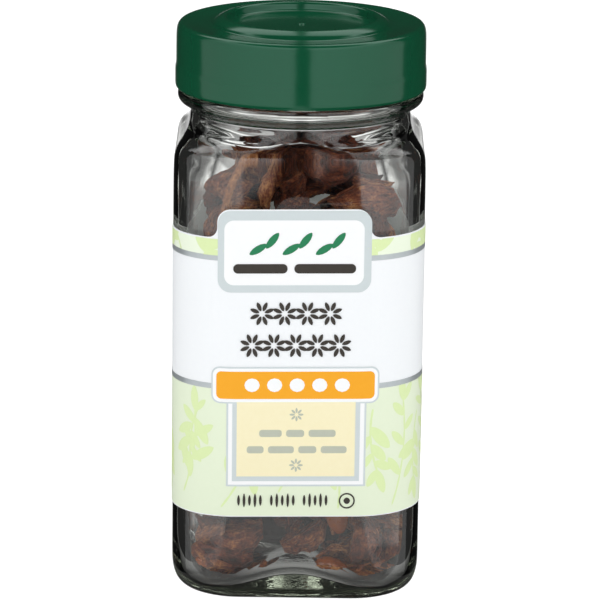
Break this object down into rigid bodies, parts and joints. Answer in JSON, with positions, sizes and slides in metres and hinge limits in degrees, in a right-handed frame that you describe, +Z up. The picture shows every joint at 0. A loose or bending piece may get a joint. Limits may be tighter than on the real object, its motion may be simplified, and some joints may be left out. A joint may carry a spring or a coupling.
{
  "type": "jar of whole star anise",
  "caption": "Shut square clear-glass spice jar with a round green screw lid and a wrap-around paper label, filled with whole star anise seen through the glass.",
  "frame": {"origin": "middle of the base, on the surface that the jar stands on", "axes": "+Z up along the jar's axis, the label's front faces -Y, +X is to the right of someone looking at the front"},
  "size_m": [0.045, 0.045, 0.1023],
  "materials": {
    "glass": "clear, slightly green, polished",
    "lid_green": "glossy moulded dark green",
    "label_paper": "satin coated paper with a pale green and white print",
    "dried_pods": "dull, wrinkled, dry red-brown husk"
  },
  "bodies": {
    "root": {"glass_jar": "glass", "lid": "lid_green", "label": "label_paper", "star_anise": "dried_pods"}
  },
  "joints": []
}
